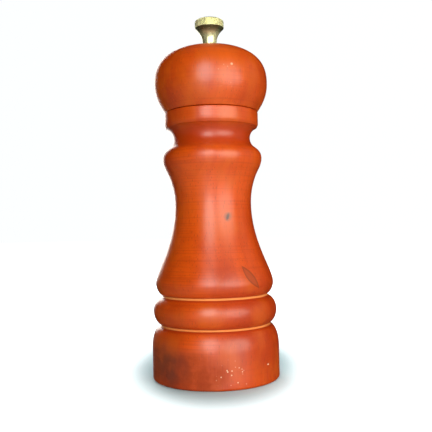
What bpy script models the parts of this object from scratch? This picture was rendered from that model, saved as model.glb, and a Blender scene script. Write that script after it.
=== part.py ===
"""A turned wooden pepper mill, taken apart into the pieces it is assembled from.

Metres, +Z up. The origin lies on the mill's axis, in the plane that the foot stands on.
The wooden body holds a fixed toothed ring, the stator. A square shaft turns the toothed
cone, the rotor, inside it. The wooden head turns the shaft through a steel plate with a
square hole, and a knurled brass nut on the shaft's thread sets the gap between the teeth.
"""

import math

import bmesh
import bpy
from mathutils import Vector

# ---------------------------------------------------------------- driving dimensions
REST_GAP = 0.0003  # between two pieces that rest on each other
TURNING_SIDES = 36  # facets round the large wooden pieces
SMALL_SIDES = 24  # facets round the small turned pieces
HOLE_SIDES = 12  # facets round the screw holes

# Body
BODY_HEIGHT = 0.1216
BASE_RADIUS = 0.0292
FOOT_ROUND = 0.0012
COLLAR_RADIUS = 0.02160
COLLAR_FOOT = 0.1158
STORE_RADIUS = 0.0125  # the bore that holds the peppercorns
GRINDER_BORE_RADIUS = 0.0160
GRINDER_BORE_TOP = 0.0344
RECESS_RADIUS = 0.0220
RECESS_DEPTH = 0.0120

# Head
HEAD_SEAT = BODY_HEIGHT + 0.00035
HEAD_TOP = 0.15175  # the flat that the nut's washer lies on
HEAD_TOP_FLAT_RADIUS = 0.0046
SPIGOT_RADIUS = 0.0121
SPIGOT_LENGTH = 0.0100
HEAD_BORE_RADIUS = 0.0050
HEAD_BORE_TOP = 0.1480
HEAD_EYE_RADIUS = 0.0030

# Shaft and its thread
SHAFT_SIDE = 0.0060
SQUARE_HOLE_SIDE = 0.0067
SHAFT_SQUARE_TOP = 0.1455
THREAD_RADIUS = 0.0025
THREAD_TOP = 0.1595
JOURNAL_RADIUS = 0.0020
JOURNAL_FOOT = 0.0022

# Grinder, from the bottom up
ROTOR_FOOT = 0.0092
ROTOR_HEIGHT = 0.0110
ROTOR_FOOT_RADIUS = 0.0128
ROTOR_WAIST_RADIUS = 0.0102
ROTOR_WAIST = 0.0050  # above the rotor's foot
ROTOR_TOP_RADIUS = 0.0066
STATOR_FLANGE_RADIUS = 0.0215
STATOR_FLANGE_THICKNESS = 0.0018
STATOR_RADIUS = 0.0157
STATOR_TOP = 0.0340
STATOR_THROAT = (0.01063, 0.0155)  # radius and height of its narrowest place
STATOR_MOUTH_RADIUS = 0.01354
STATOR_STORE_RADIUS = 0.0130
SPIDER_HUB_RADIUS = 0.0065
SPIDER_HUB_BORE = 0.0047
SPIDER_ARM_WIDTH = 0.0035
SPIDER_THICKNESS = 0.0030
WASHER_THICKNESS = 0.0008

# Teeth
TOOTH_SAMPLES = 72  # points round a toothed ring: a multiple of both tooth counts
COARSE_TEETH = 8
FINE_TEETH = 24
ROTOR_RIB_DEPTH = 0.0016
STATOR_RIB_DEPTH = 0.0010
FINE_DEPTH = 0.0005

# Spring
SPRING_WIRE = 0.0011
SPRING_MEAN_RADIUS = 0.0056
SPRING_TURNS = 4.5
SPRING_POINTS_A_TURN = 14

# Bridge bar across the recess, and its bush
BRIDGE_WIDTH = 0.0090
BRIDGE_THICKNESS = 0.0014
BRIDGE_HALF_LENGTH = 0.0210
BRIDGE_DROP = 0.0052
BUSH_RADIUS = 0.0036
BUSH_FLANGE_RADIUS = 0.0050
BUSH_BORE = 0.00235

# Drive plate under the head
PLATE_RADIUS = 0.0106
PLATE_THICKNESS = 0.0015
PLATE_SCREWS = 3
PLATE_SCREW_CIRCLE = 0.0080

# Screws: shank radius, head radius, head height, length under the head
BASE_SCREW = (0.00125, 0.0026, 0.0016, 0.0110)
PLATE_SCREW = (0.00100, 0.0020, 0.0012, 0.0080)
BASE_SCREW_CIRCLE = 0.0190
SCREW_POINT = 0.0030

# Nut on top of the head
WASHER_RADIUS = 0.0042
NUT_WASHER_THICKNESS = 0.0005
NUT_HEIGHT = 0.0126
NUT_RIM_RADIUS = 0.00672
NUT_RIM_THICKNESS = 0.00435
NUT_CROWN = 0.00135
NUT_FLAT_RADIUS = 0.0030
NUT_CHAMFER = 0.0003
NUT_STEM_RADIUS = 0.0033
NUT_FOOT_RADIUS = 0.0036
NUT_BORE = 0.0028
NUT_BORE_DEPTH = 0.0092

# Heights that follow from those
STEP_FACE = RECESS_DEPTH - REST_GAP
FLANGE_FOOT = STEP_FACE - STATOR_FLANGE_THICKNESS
BRIDGE_TOP = FLANGE_FOOT - REST_GAP
BRIDGE_FOOT = BRIDGE_TOP - BRIDGE_THICKNESS
PLATE_TOP = HEAD_SEAT - SPIGOT_LENGTH - REST_GAP
PLATE_FOOT = PLATE_TOP - PLATE_THICKNESS
ROTOR_TOP = ROTOR_FOOT + ROTOR_HEIGHT
SPRING_SEAT_FOOT = ROTOR_TOP + REST_GAP
SPRING_FOOT = SPRING_SEAT_FOOT + WASHER_THICKNESS + REST_GAP
SPIDER_FOOT = STATOR_TOP - SPIDER_THICKNESS
SPRING_CAP_FOOT = SPIDER_FOOT - REST_GAP - WASHER_THICKNESS
SPRING_TOP = SPRING_CAP_FOOT - REST_GAP
ROTOR_WASHER_FOOT = ROTOR_FOOT - REST_GAP - WASHER_THICKNESS
CLIP_TOP = ROTOR_WASHER_FOOT - REST_GAP
NUT_WASHER_FOOT = HEAD_TOP + REST_GAP
NUT_FOOT = NUT_WASHER_FOOT + NUT_WASHER_THICKNESS + REST_GAP


# ---------------------------------------------------------------- scene and materials
def clear_scene():
    for obj in list(bpy.data.objects):
        bpy.data.objects.remove(obj, do_unlink=True)


def new_collection(name):
    made = bpy.data.collections.new(name)
    bpy.context.scene.collection.children.link(made)
    return made


def new_material(name, colour, roughness, metallic=0.0):
    made = bpy.data.materials.new(name)
    made.use_nodes = True
    shader = made.node_tree.nodes["Principled BSDF"]
    shader.inputs["Base Color"].default_value = (*colour, 1.0)
    shader.inputs["Roughness"].default_value = roughness
    shader.inputs["Metallic"].default_value = metallic
    return made


clear_scene()
PIECES = new_collection("pepper_mill")
CUTTERS = new_collection("cutters")
WOOD = new_material("stained_wood", (0.62, 0.13, 0.03), 0.38)
BRASS = new_material("brass", (0.78, 0.60, 0.26), 0.25, 1.0)
STEEL = new_material("steel", (0.56, 0.56, 0.55), 0.35, 1.0)
BURR_STEEL = new_material("burr_steel", (0.22, 0.22, 0.23), 0.45, 1.0)
ALUMINIUM = new_material("aluminium", (0.80, 0.80, 0.80), 0.30, 1.0)
NYLON = new_material("nylon", (0.85, 0.84, 0.80), 0.55)


# ---------------------------------------------------------------- modelling helpers
def add_piece(name, mesh, finish, height=0.0):
    """One piece of the mill, its origin on the mill's axis at that height."""
    obj = bpy.data.objects.new(name, mesh)
    obj.location.z = height
    mesh.materials.append(finish)
    PIECES.objects.link(obj)
    return obj


def add_cutter(name, mesh, target):
    """A helper shape, in the frame of the piece that it cuts or joins."""
    obj = bpy.data.objects.new(name, mesh)
    obj.hide_render = True
    obj.display_type = "WIRE"
    obj.parent = target
    CUTTERS.objects.link(obj)
    return obj


def combine(target, tool, operation="DIFFERENCE"):
    boolean = target.modifiers.new(tool.name, "BOOLEAN")
    boolean.operation = operation
    boolean.object = tool


def cylinder_mesh(name, radius, low, high, sides=HOLE_SIDES):
    mesh = bpy.data.meshes.new(name)
    shape = bmesh.new()
    bmesh.ops.create_cone(
        shape,
        cap_ends=True,
        segments=sides,
        radius1=radius,
        radius2=radius,
        depth=high - low,
    )
    bmesh.ops.translate(shape, verts=shape.verts, vec=(0, 0, (low + high) / 2))
    shape.to_mesh(mesh)
    shape.free()
    return mesh


def box_mesh(name, size, centre):
    mesh = bpy.data.meshes.new(name)
    shape = bmesh.new()
    bmesh.ops.create_cube(shape, size=1.0)
    bmesh.ops.scale(shape, verts=shape.verts, vec=size)
    bmesh.ops.translate(shape, verts=shape.verts, vec=centre)
    shape.to_mesh(mesh)
    shape.free()
    return mesh


def bore(target, name, radius, low, high, at=(0.0, 0.0), sides=HOLE_SIDES):
    """A round hole parallel to the axis, between two heights in the piece's frame."""
    cutter = add_cutter(name, cylinder_mesh(name, radius, low, high, sides), target)
    cutter.location.x = at[0]
    cutter.location.y = at[1]
    combine(target, cutter)


def square_hole(target, name, low, high):
    size = (SQUARE_HOLE_SIDE, SQUARE_HOLE_SIDE, high - low)
    cutter = add_cutter(name, box_mesh(name, size, (0, 0, (low + high) / 2)), target)
    combine(target, cutter)


def around(count, radius, first_degrees=0.0):
    """Evenly spaced places on a circle about the axis."""
    for step in range(count):
        angle = math.radians(first_degrees) + step * math.tau / count
        yield radius * math.cos(angle), radius * math.sin(angle)


def arc(centre, size, start, end, steps):
    """Points on an ellipse about centre. Angles run from 0, straight out, to 90, straight up."""
    points = []
    for step in range(steps + 1):
        angle = math.radians(start + (end - start) * step / steps)
        points.append(
            (centre[0] + size[0] * math.cos(angle), centre[1] + size[1] * math.sin(angle))
        )
    return points


def sweep(start, end, leans, pulls, steps):
    """A smooth stretch of a turned outline, without its first point.

    Each lean is the outline's angle outwards from straight down, in degrees, at that end,
    and each pull is how far the outline keeps to it."""
    first, last = Vector(start), Vector(end)
    ways = [Vector((math.sin(math.radians(a)), -math.cos(math.radians(a)))) for a in leans]
    near, far = first + ways[0] * pulls[0], last - ways[1] * pulls[1]
    points = []
    for step in range(1, steps + 1):
        t = step / steps
        u = 1 - t
        place = first * u**3 + near * 3 * u * u * t + far * 3 * u * t * t + last * t**3
        points.append(tuple(place))
    return points


def turned(name, outline, finish, height=0.0, sides=SMALL_SIDES, closed=True):
    """A piece turned from (radius, height) points that run down its outer side. A closed
    outline comes back up the inside, and an open one starts and ends on the axis."""
    mesh = bpy.data.meshes.new(name)
    count = len(outline)
    edges = [(i, i + 1) for i in range(count - 1)]
    if closed:
        edges.append((count - 1, 0))
    mesh.from_pydata([(radius, 0.0, z) for radius, z in outline], edges, [])
    obj = add_piece(name, mesh, finish, height)
    screw = obj.modifiers.new("turn", "SCREW")
    screw.steps = sides
    screw.render_steps = sides
    screw.use_merge_vertices = True
    screw.merge_threshold = 0.00001
    return obj


def washer(name, finish, inner, outer, thickness, height):
    outline = [(inner, thickness), (outer, thickness), (outer, 0.0), (inner, 0.0)]
    return turned(name, outline, finish, height)


def toothed_plug(name, stations):
    """A closed plug lofted through rings of teeth, from the bottom up. Each station gives
    height, radius, depth of the coarse ribs, depth of the fine teeth, both signed, and how
    many samples the ribs have turned."""
    mesh = bpy.data.meshes.new(name)
    shape = bmesh.new()
    rings = []
    for height, radius, coarse, fine, turn in stations:
        ring = []
        for sample in range(TOOTH_SAMPLES):
            rib = (sample + turn) * COARSE_TEETH / TOOTH_SAMPLES % 1.0
            tooth = sample * FINE_TEETH / TOOTH_SAMPLES % 1.0
            reach = radius + coarse * rib + fine * tooth
            angle = sample * math.tau / TOOTH_SAMPLES
            place = (reach * math.cos(angle), reach * math.sin(angle), height)
            ring.append(shape.verts.new(place))
        rings.append(ring)
    for low, high in zip(rings, rings[1:]):
        for i in range(TOOTH_SAMPLES):
            j = (i + 1) % TOOTH_SAMPLES
            shape.faces.new((low[i], low[j], high[j], high[i]))
    shape.faces.new(reversed(rings[0]))
    shape.faces.new(rings[-1])
    shape.to_mesh(mesh)
    shape.free()
    return mesh


# ---------------------------------------------------------------- wooden body
COVE_CENTRE = (0.0231, 0.1099)
COVE_ROUND = 0.0054
COVE_FOOT_ANGLE = 235.8
SHOULDER = (0.02293, 0.1006)
SHOULDER_FOOT = (0.0215, 0.0957)
WAIST = (0.01766, 0.0799)
FLARE = (0.0246, 0.0517)
RIM = (0.02708, 0.0439)
RIM_FOOT = (0.0251, 0.0390)
UPPER_GROOVE_FLOOR = 0.0243
BEAD_CENTRE = (0.0233, 0.03125)
BEAD_SIZE = (0.00503, 0.0066)
LOWER_GROOVE_FLOOR = 0.0249
BASE_SHOULDER_CENTRE = (0.0250, 0.0150)
BASE_SHOULDER_SIZE = (0.0041, 0.0096)
EDGE_BREAK = 0.0004  # the small bevel that sandpaper leaves on a turned edge


def body_outer_side():
    """The turned outside, from the top rim to the foot."""
    cove = arc(COVE_CENTRE, (COVE_ROUND, COVE_ROUND), 112, COVE_FOOT_ANGLE, 8)
    bead = arc(BEAD_CENTRE, BEAD_SIZE, 71, -67, 9)
    base_shoulder = arc(BASE_SHOULDER_CENTRE, BASE_SHOULDER_SIZE, 84, 0, 6)
    foot_centre = (BASE_RADIUS - FOOT_ROUND, FOOT_ROUND)
    return [
        (COLLAR_RADIUS - EDGE_BREAK, BODY_HEIGHT),
        (COLLAR_RADIUS, BODY_HEIGHT - EDGE_BREAK),
        (COLLAR_RADIUS, COLLAR_FOOT),
        *cove,
        *sweep(cove[-1], SHOULDER, (55, 0), (0.0024, 0.0020), 4),
        *sweep(SHOULDER, SHOULDER_FOOT, (0, -28), (0.0017, 0.0017), 3),
        *sweep(SHOULDER_FOOT, WAIST, (-28, 0), (0.0045, 0.0065), 5),
        *sweep(WAIST, FLARE, (0, 23), (0.0110, 0.0090), 6),
        *sweep(FLARE, RIM, (23, 0), (0.0028, 0.0020), 3),
        *sweep(RIM, RIM_FOOT, (0, -49), (0.0017, 0.0015), 4),
        (UPPER_GROOVE_FLOOR, RIM_FOOT[1] - EDGE_BREAK),
        (UPPER_GROOVE_FLOOR, bead[0][1] + EDGE_BREAK),
        *bead,
        (LOWER_GROOVE_FLOOR, bead[-1][1] - EDGE_BREAK / 2),
        (LOWER_GROOVE_FLOOR, base_shoulder[0][1] + EDGE_BREAK / 2),
        *base_shoulder,
        *arc(foot_centre, (FOOT_ROUND, FOOT_ROUND), 0, -90, 3),
    ]


def body_inner_side():
    """The stepped bore, from the foot to the top rim."""
    return [
        (RECESS_RADIUS, 0.0),
        (RECESS_RADIUS, RECESS_DEPTH),
        (GRINDER_BORE_RADIUS, RECESS_DEPTH),
        (GRINDER_BORE_RADIUS, GRINDER_BORE_TOP),
        (STORE_RADIUS, GRINDER_BORE_TOP),
        (STORE_RADIUS, BODY_HEIGHT),
    ]


def build_body():
    outline = body_outer_side() + body_inner_side()
    body = turned("mill_body", outline, WOOD, sides=TURNING_SIDES)
    shank, _, _, length = BASE_SCREW
    for number, place in enumerate(around(4, BASE_SCREW_CIRCLE), 1):
        name = f"body_pilot_{number}"
        bore(body, name, shank + REST_GAP, RECESS_DEPTH - 0.001, FLANGE_FOOT + length, place)


# ---------------------------------------------------------------- wooden head
HEAD_GIRTH = (0.02611, 0.1346)
HEAD_EDGE = (0.0217, 0.12235)
DOME_RISE = 0.0173  # from the girth to the crown
DOME_FULLNESS = 2.55  # 2 would make the dome an ellipse, and more fills its corners out


def dome_side(steps):
    """The flattened dome from the edge of its flat crown out to the girth."""
    crown = math.acos((HEAD_TOP_FLAT_RADIUS / HEAD_GIRTH[0]) ** (DOME_FULLNESS / 2))
    points = []
    for step in range(steps + 1):
        angle = crown * (1 - step / steps)
        out = math.cos(angle) ** (2 / DOME_FULLNESS)
        up = math.sin(angle) ** (2 / DOME_FULLNESS)
        points.append((HEAD_GIRTH[0] * out, HEAD_GIRTH[1] + DOME_RISE * up))
    return points


def build_head():
    """The domed head, modelled up from the seat where it rests on the body."""
    dome = dome_side(12)
    spigot_foot = HEAD_SEAT - SPIGOT_LENGTH
    outline = [
        (HEAD_EYE_RADIUS, HEAD_TOP),
        (HEAD_TOP_FLAT_RADIUS - EDGE_BREAK, HEAD_TOP),
        *dome,
        *sweep(HEAD_GIRTH, HEAD_EDGE, (0, -35), (0.0053, 0.0038), 6),
        (HEAD_EDGE[0] - EDGE_BREAK, HEAD_SEAT),
        (SPIGOT_RADIUS, HEAD_SEAT),
        (SPIGOT_RADIUS, spigot_foot + EDGE_BREAK),
        (SPIGOT_RADIUS - EDGE_BREAK, spigot_foot),
        (HEAD_BORE_RADIUS, spigot_foot),
        (HEAD_BORE_RADIUS, HEAD_BORE_TOP),
        (HEAD_EYE_RADIUS, HEAD_BORE_TOP),
    ]
    from_seat = [(radius, z - HEAD_SEAT) for radius, z in outline]
    head = turned("mill_head", from_seat, WOOD, HEAD_SEAT, TURNING_SIDES)
    shank, _, _, length = PLATE_SCREW
    foot = -SPIGOT_LENGTH
    for number, place in enumerate(around(PLATE_SCREWS, PLATE_SCREW_CIRCLE, 90), 1):
        name = f"head_pilot_{number}"
        bore(head, name, shank + REST_GAP, foot - 0.001, foot + length, place)


# ---------------------------------------------------------------- nut and its washer
def build_nut():
    """The brass nut, modelled up from its foot: a knurled rim on a flared stem."""
    rim_foot = NUT_HEIGHT - NUT_RIM_THICKNESS
    rim_edge = (NUT_RIM_RADIUS - NUT_CHAMFER, rim_foot)
    crown_centre = (NUT_FLAT_RADIUS, NUT_HEIGHT - NUT_CROWN)
    crown_size = (NUT_RIM_RADIUS - NUT_FLAT_RADIUS, NUT_CROWN)
    stem = (NUT_STEM_RADIUS, 0.0022)
    outline = [
        (0.0, NUT_HEIGHT),
        *arc(crown_centre, crown_size, 90, 0, 6),
        (NUT_RIM_RADIUS, rim_foot + NUT_CHAMFER),
        rim_edge,
        *sweep(rim_edge, stem, (-43, -5), (0.0030, 0.0026), 9),
        (NUT_FOOT_RADIUS, 0.0012),
        (NUT_FOOT_RADIUS, 0.0),
        (NUT_BORE, 0.0),
        (NUT_BORE, NUT_BORE_DEPTH),
        (0.0, NUT_BORE_DEPTH),
    ]
    turned("finial_nut", outline, BRASS, NUT_FOOT, SMALL_SIDES, closed=False)
    washer(
        "finial_washer", BRASS, NUT_BORE, WASHER_RADIUS, NUT_WASHER_THICKNESS, NUT_WASHER_FOOT
    )


# ---------------------------------------------------------------- shaft
CLIP_THICKNESS = 0.0006
CLIP_GROOVE_RADIUS = 0.0014
THREAD_NECK_RADIUS = 0.0021


def build_shaft():
    """A square bar, round at the foot for the bush and at the top for the thread."""
    clip_foot = CLIP_TOP - CLIP_THICKNESS
    square_foot = ROTOR_FOOT + REST_GAP
    end_chamfer = 0.0004
    inside_bar = 0.0010
    outline = [
        (0.0, THREAD_TOP),
        (THREAD_RADIUS - end_chamfer, THREAD_TOP),
        (THREAD_RADIUS, THREAD_TOP - end_chamfer),
        (THREAD_RADIUS, SHAFT_SQUARE_TOP + 0.0016),
        (THREAD_NECK_RADIUS, SHAFT_SQUARE_TOP + 0.0012),
        (THREAD_NECK_RADIUS, SHAFT_SQUARE_TOP - inside_bar),
        (JOURNAL_RADIUS, square_foot + inside_bar),
        (JOURNAL_RADIUS, CLIP_TOP + 0.0001),
        (CLIP_GROOVE_RADIUS, CLIP_TOP + 0.0001),
        (CLIP_GROOVE_RADIUS, clip_foot - 0.0001),
        (JOURNAL_RADIUS, clip_foot - 0.0001),
        (JOURNAL_RADIUS, JOURNAL_FOOT + end_chamfer),
        (JOURNAL_RADIUS - end_chamfer, JOURNAL_FOOT),
        (0.0, JOURNAL_FOOT),
    ]
    shaft = turned("drive_shaft", outline, ALUMINIUM, sides=16, closed=False)
    bar_size = (SHAFT_SIDE, SHAFT_SIDE, SHAFT_SQUARE_TOP - square_foot)
    middle = (SHAFT_SQUARE_TOP + square_foot) / 2
    bar = add_cutter("square_bar", box_mesh("square_bar", bar_size, (0, 0, middle)), shaft)
    bevel = bar.modifiers.new("soft_edges", "BEVEL")
    bevel.width = end_chamfer
    bevel.segments = 1
    combine(shaft, bar, "UNION")


# ---------------------------------------------------------------- grinder
def build_rotor():
    """The toothed cone, modelled up from its foot: fine teeth below, helical ribs above."""
    middle = (ROTOR_WAIST + ROTOR_HEIGHT) / 2
    middle_radius = (ROTOR_WAIST_RADIUS + ROTOR_TOP_RADIUS) / 2
    fine_slope = (ROTOR_FOOT_RADIUS - ROTOR_WAIST_RADIUS) / ROTOR_WAIST
    fine_top_radius = ROTOR_WAIST_RADIUS + fine_slope * 0.0010
    stations = [
        (0.0, ROTOR_FOOT_RADIUS, 0.0, -FINE_DEPTH, 0),
        (ROTOR_WAIST - 0.0010, fine_top_radius, 0.0, -FINE_DEPTH, 0),
        (ROTOR_WAIST, ROTOR_WAIST_RADIUS, -ROTOR_RIB_DEPTH / 2, 0.0, 0),
        (middle, middle_radius, -ROTOR_RIB_DEPTH, 0.0, 2),
        (ROTOR_HEIGHT, ROTOR_TOP_RADIUS, -ROTOR_RIB_DEPTH / 2, 0.0, 4),
    ]
    rotor = add_piece("rotor_burr", toothed_plug("rotor_burr", stations), BURR_STEEL, ROTOR_FOOT)
    square_hole(rotor, "rotor_square", -0.001, ROTOR_HEIGHT + 0.001)


def build_stator():
    """The fixed ring: a flange under the step, teeth inside and a three-armed spider on top."""
    blank_bore = 0.0090
    outline = [
        (blank_bore, STATOR_TOP),
        (STATOR_RADIUS - EDGE_BREAK, STATOR_TOP),
        (STATOR_RADIUS, STATOR_TOP - EDGE_BREAK),
        (STATOR_RADIUS, STEP_FACE),
        (STATOR_FLANGE_RADIUS, STEP_FACE),
        (STATOR_FLANGE_RADIUS, FLANGE_FOOT),
        (blank_bore, FLANGE_FOOT),
    ]
    stator = turned("stator_burr", outline, BURR_STEEL, sides=TURNING_SIDES)
    throat_radius, throat = STATOR_THROAT
    mouth_slope = (STATOR_MOUTH_RADIUS - throat_radius) / (throat - FLANGE_FOOT)
    overrun = 0.0010
    funnel_top = 0.0205
    stations = [
        (FLANGE_FOOT - overrun, STATOR_MOUTH_RADIUS + mouth_slope * overrun, 0.0, FINE_DEPTH, 0),
        (throat, throat_radius, 0.0, FINE_DEPTH, 0),
        (funnel_top, STATOR_STORE_RADIUS, STATOR_RIB_DEPTH, 0.0, -3),
        (SPIDER_FOOT, STATOR_STORE_RADIUS, STATOR_RIB_DEPTH, 0.0, -6),
        (STATOR_TOP + overrun, STATOR_STORE_RADIUS, STATOR_RIB_DEPTH, 0.0, -6),
    ]
    teeth = add_cutter("stator_teeth", toothed_plug("stator_teeth", stations), stator)
    combine(stator, teeth)
    hub_shape = cylinder_mesh("spider_hub", SPIDER_HUB_RADIUS, SPIDER_FOOT, STATOR_TOP, SMALL_SIDES)
    combine(stator, add_cutter("spider_hub", hub_shape, stator), "UNION")
    arm_reach = (STATOR_STORE_RADIUS + STATOR_RADIUS) / 2
    arm_start = SPIDER_HUB_RADIUS - 0.0010
    for number in range(3):
        name = f"spider_arm_{number + 1}"
        size = (arm_reach - arm_start, SPIDER_ARM_WIDTH, SPIDER_THICKNESS - 0.0006)
        centre = ((arm_reach + arm_start) / 2, 0, (SPIDER_FOOT + STATOR_TOP) / 2)
        arm = add_cutter(name, box_mesh(name, size, centre), stator)
        arm.rotation_euler.z = number * math.tau / 3
        combine(stator, arm, "UNION")
    bore(stator, "spider_bore", SPIDER_HUB_BORE, SPIDER_FOOT - 0.001, STATOR_TOP + 0.001)
    hole_radius = BASE_SCREW[0] + REST_GAP
    for number, place in enumerate(around(4, BASE_SCREW_CIRCLE), 1):
        name = f"flange_hole_{number}"
        bore(stator, name, hole_radius, FLANGE_FOOT - 0.001, STEP_FACE + 0.001, place)


def build_spring():
    """An open-coiled compression spring between its seat on the rotor and its cap."""
    curve = bpy.data.curves.new("grinder_spring", "CURVE")
    curve.dimensions = "3D"
    curve.bevel_depth = SPRING_WIRE / 2
    curve.bevel_resolution = 1
    curve.use_fill_caps = True
    count = round(SPRING_TURNS * SPRING_POINTS_A_TURN) + 1
    rise = SPRING_TOP - SPRING_FOOT - SPRING_WIRE
    wire = curve.splines.new("POLY")
    wire.points.add(count - 1)
    for i, point in enumerate(wire.points):
        share = i / (count - 1)
        angle = share * SPRING_TURNS * math.tau
        x = SPRING_MEAN_RADIUS * math.cos(angle)
        y = SPRING_MEAN_RADIUS * math.sin(angle)
        point.co = (x, y, SPRING_WIRE / 2 + rise * share, 1.0)
    add_piece("grinder_spring", curve, STEEL, SPRING_FOOT)


def build_washers():
    """The plain washers on the shaft, and the spring's cap, which the shaft's corners drive."""
    clear_of_corners = 0.0046
    seat_radius = 0.0070
    washer(
        "spring_seat", STEEL, clear_of_corners, seat_radius, WASHER_THICKNESS, SPRING_SEAT_FOOT
    )
    washer("rotor_washer", STEEL, 0.0023, 0.0050, WASHER_THICKNESS, ROTOR_WASHER_FOOT)
    disc = [
        (0.0, WASHER_THICKNESS),
        (seat_radius, WASHER_THICKNESS),
        (seat_radius, 0.0),
        (0.0, 0.0),
    ]
    cap = turned("spring_cap", disc, STEEL, SPRING_CAP_FOOT, closed=False)
    square_hole(cap, "cap_square", -0.001, WASHER_THICKNESS + 0.001)


def build_clip():
    """The spring-steel clip in the shaft's groove, open on one side so that it can be pushed on."""
    outer, inner = 0.0042, 0.0017
    opening = 32
    curve = bpy.data.curves.new("rotor_clip", "CURVE")
    curve.dimensions = "2D"
    curve.fill_mode = "BOTH"
    curve.extrude = CLIP_THICKNESS / 2
    rim = arc((0, 0), (outer, outer), opening, 360 - opening, 20)
    throat = arc((0, 0), (inner, inner), 360 - opening, opening, 12)
    outline = curve.splines.new("POLY")
    outline.points.add(len(rim) + len(throat) - 1)
    for point, (x, y) in zip(outline.points, rim + throat):
        point.co = (x, y, 0, 1)
    outline.use_cyclic_u = True
    add_piece("rotor_clip", curve, STEEL, CLIP_TOP - CLIP_THICKNESS / 2)


# ---------------------------------------------------------------- bridge bar and bush
def build_bridge():
    """A steel strip across the recess, stepped down in the middle, with a bush for the shaft."""
    flat_half, slope_half = 0.0086, 0.0143
    drop = -BRIDGE_DROP
    path = [
        (-BRIDGE_HALF_LENGTH, 0.0),
        (-slope_half, 0.0),
        (-flat_half, drop),
        (flat_half, drop),
        (slope_half, 0.0),
        (BRIDGE_HALF_LENGTH, 0.0),
    ]
    mesh = bpy.data.meshes.new("bridge_bar")
    shape = bmesh.new()
    corners = [shape.verts.new((x, -BRIDGE_WIDTH / 2, z)) for x, z in path]
    for start, end in zip(corners, corners[1:]):
        shape.edges.new((start, end))
    grown = bmesh.ops.extrude_edge_only(shape, edges=shape.edges)["geom"]
    far_side = [part for part in grown if isinstance(part, bmesh.types.BMVert)]
    bmesh.ops.translate(shape, verts=far_side, vec=(0, BRIDGE_WIDTH, 0))
    shape.to_mesh(mesh)
    shape.free()
    bridge = add_piece("bridge_bar", mesh, STEEL, BRIDGE_TOP)
    sheet = bridge.modifiers.new("sheet", "SOLIDIFY")
    sheet.thickness = BRIDGE_THICKNESS
    sheet.offset = 1.0
    sheet.use_even_offset = True
    hole_radius = BASE_SCREW[0] + REST_GAP
    for number, place in enumerate(around(2, BASE_SCREW_CIRCLE), 1):
        name = f"bridge_hole_{number}"
        bore(bridge, name, hole_radius, -BRIDGE_THICKNESS - 0.001, 0.001, place)
    bush_hole = BUSH_RADIUS + REST_GAP
    low, high = drop - BRIDGE_THICKNESS - 0.001, drop + 0.001
    bore(bridge, "bridge_bush_hole", bush_hole, low, high, sides=SMALL_SIDES)

    flange_foot = BRIDGE_TOP + drop + REST_GAP
    flange_thickness, barrel = 0.0008, 0.0019
    outline = [
        (BUSH_BORE, flange_thickness),
        (BUSH_FLANGE_RADIUS, flange_thickness),
        (BUSH_FLANGE_RADIUS, 0.0),
        (BUSH_RADIUS, 0.0),
        (BUSH_RADIUS, -barrel),
        (BUSH_BORE, -barrel),
    ]
    turned("bridge_bush", outline, NYLON, flange_foot)


# ---------------------------------------------------------------- drive plate
def build_drive_plate():
    disc = [
        (0.0, PLATE_THICKNESS),
        (PLATE_RADIUS, PLATE_THICKNESS),
        (PLATE_RADIUS, 0.0),
        (0.0, 0.0),
    ]
    plate = turned("drive_plate", disc, STEEL, PLATE_FOOT, closed=False)
    square_hole(plate, "plate_square", -0.001, PLATE_THICKNESS + 0.001)
    hole_radius = PLATE_SCREW[0] + REST_GAP
    for number, place in enumerate(around(PLATE_SCREWS, PLATE_SCREW_CIRCLE, 90), 1):
        name = f"plate_hole_{number}"
        bore(plate, name, hole_radius, -0.001, PLATE_THICKNESS + 0.001, place)


# ---------------------------------------------------------------- screws
def screw_mesh(name, sizes):
    """A slotted wood screw that points up, with its head below the origin."""
    shank, head, head_height, length = sizes
    outline = [
        (0.0, length - REST_GAP),
        (shank, length - SCREW_POINT),
        (shank, 0.0),
        (head, 0.0),
        (head, -head_height / 2),
        (head * 0.7, -head_height),
        (0.0, -head_height),
    ]
    blank = turned(name, outline, STEEL, sides=HOLE_SIDES, closed=False)
    slot_size = (3 * head, head / 3, head_height)
    slot_mesh = box_mesh("slot", slot_size, (0, 0, -head_height))
    slot = add_cutter(name + "_slot", slot_mesh, blank)
    combine(blank, slot)
    graph = bpy.context.evaluated_depsgraph_get()
    made = bpy.data.meshes.new_from_object(blank.evaluated_get(graph))
    bpy.data.objects.remove(slot)
    bpy.data.objects.remove(blank)
    return made


def build_screws():
    base = screw_mesh("base_screw", BASE_SCREW)
    plate = screw_mesh("plate_screw", PLATE_SCREW)
    base_places = list(around(4, BASE_SCREW_CIRCLE))
    under_bridge, under_flange = BRIDGE_FOOT - REST_GAP, FLANGE_FOOT - REST_GAP
    for number, place in enumerate(base_places[0::2], 1):
        add_screw(f"bridge_screw_{number}", base, place, under_bridge)
    for number, place in enumerate(base_places[1::2], 1):
        add_screw(f"stator_screw_{number}", base, place, under_flange)
    for number, place in enumerate(around(PLATE_SCREWS, PLATE_SCREW_CIRCLE, 90), 1):
        add_screw(f"drive_plate_screw_{number}", plate, place, PLATE_FOOT - REST_GAP)


def add_screw(name, mesh, place, height):
    obj = bpy.data.objects.new(name, mesh)
    obj.location = (*place, height)
    PIECES.objects.link(obj)


build_body()
build_head()
build_nut()
build_shaft()
build_rotor()
build_stator()
build_spring()
build_washers()
build_clip()
build_bridge()
build_drive_plate()
build_screws()
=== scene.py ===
import math

import bmesh
import bpy
from mathutils import Matrix, Vector


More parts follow.
